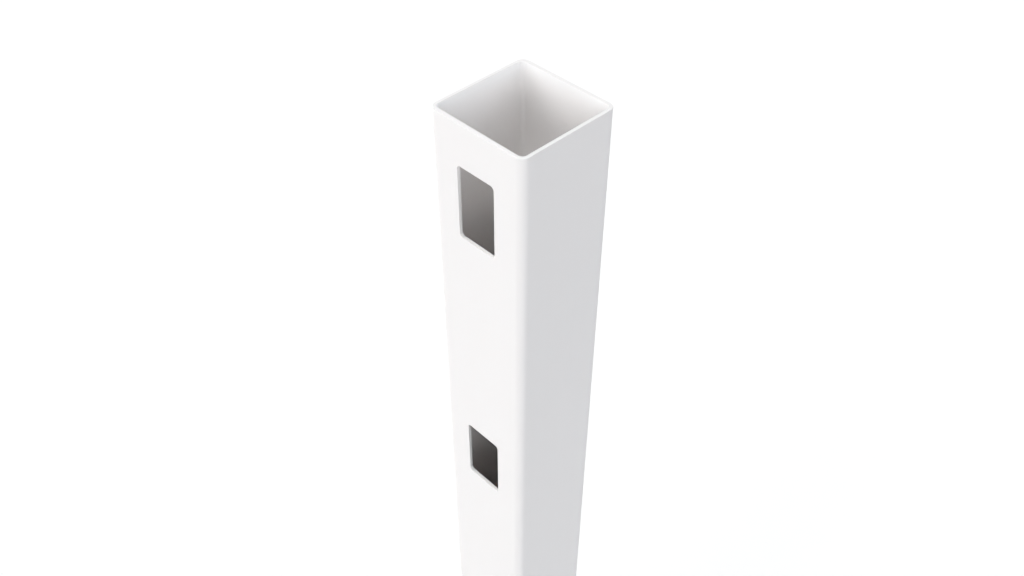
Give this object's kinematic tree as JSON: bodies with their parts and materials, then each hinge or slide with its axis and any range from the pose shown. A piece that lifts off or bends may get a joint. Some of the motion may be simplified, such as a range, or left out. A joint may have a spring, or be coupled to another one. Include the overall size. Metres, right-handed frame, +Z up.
{
  "type": "fence post",
  "caption": "Hollow square vinyl fence post, open at both ends, with rounded corners and rail holes routed through one wall for an end or gate post.",
  "frame": {"origin": "centre of the square foot, on the ground end's cut face", "axes": "+Z up the post to its open top, -Y out of the wall that has the rail holes, +X across that wall"},
  "size_m": [0.127, 0.127, 1.8288],
  "materials": {
    "white_vinyl": "satin"
  },
  "bodies": {
    "root": {"post": "white_vinyl"}
  },
  "joints": []
}
